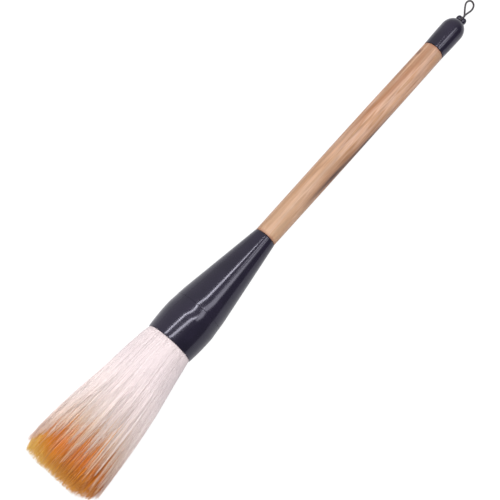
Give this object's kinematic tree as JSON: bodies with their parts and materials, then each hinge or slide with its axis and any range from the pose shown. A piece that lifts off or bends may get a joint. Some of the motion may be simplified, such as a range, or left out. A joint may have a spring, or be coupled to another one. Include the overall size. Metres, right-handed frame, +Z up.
{
  "type": "calligraphy brush",
  "caption": "Large calligraphy brush lying flat: round wooden handle, flared glossy bowl ferrule, blunt layered hair tuft, bullet end cap with cross bead and hanging loop.",
  "frame": {"origin": "middle of the brush, without its cord and bead, on the surface that it lies on", "axes": "+X along the brush towards the end cap and the hanging loop, +Z up from the table"},
  "size_m": [0.3361, 0.0454, 0.0358],
  "materials": {
    "handle_wood": "satin",
    "black_lacquer": "gloss",
    "white_hair": "matte",
    "golden_hair": "matte",
    "binding_thread": "matte",
    "rosin": "satin",
    "loop_cord": "matte"
  },
  "bodies": {
    "handle": {"handle_shaft": "handle_wood", "ferrule_cone": "black_lacquer", "ferrule_cup": "black_lacquer", "end_cap": "black_lacquer", "cover_hair_root": "white_hair", "core_hair_root": "golden_hair", "root_binding": "binding_thread", "waist_binding": "binding_thread", "rosin_plug": "rosin"},
    "tuft": {"cover_hair": "white_hair", "core_hair": "golden_hair"},
    "bead": {"loop_bead": "black_lacquer", "stopper_knot": "loop_cord", "cord_leg_upper": "loop_cord", "cord_leg_lower": "loop_cord"},
    "loop": {"hanging_loop": "loop_cord"}
  },
  "joints": [
    {"name": "tuft_bend", "type": "hinge", "parent": "handle", "child": "tuft", "pos_m": [-0.08472, 0, 0.01494], "axis": [0, 0, 1], "range_deg": [-40, 40], "stiffness_Nm_per_rad": 0.08},
    {"name": "bead_swivel", "type": "hinge", "parent": "handle", "child": "bead", "pos_m": [0.16123, 0, 0.00621], "axis": [0.9994, 0, -0.0355], "range_deg": [-180, 180], "stiffness_Nm_per_rad": 0.0001},
    {"name": "loop_swing", "type": "hinge", "parent": "bead", "child": "loop", "pos_m": [0.16123, 0, 0.00621], "axis": [0, -1, 0], "range_deg": [0, 105]}
  ]
}
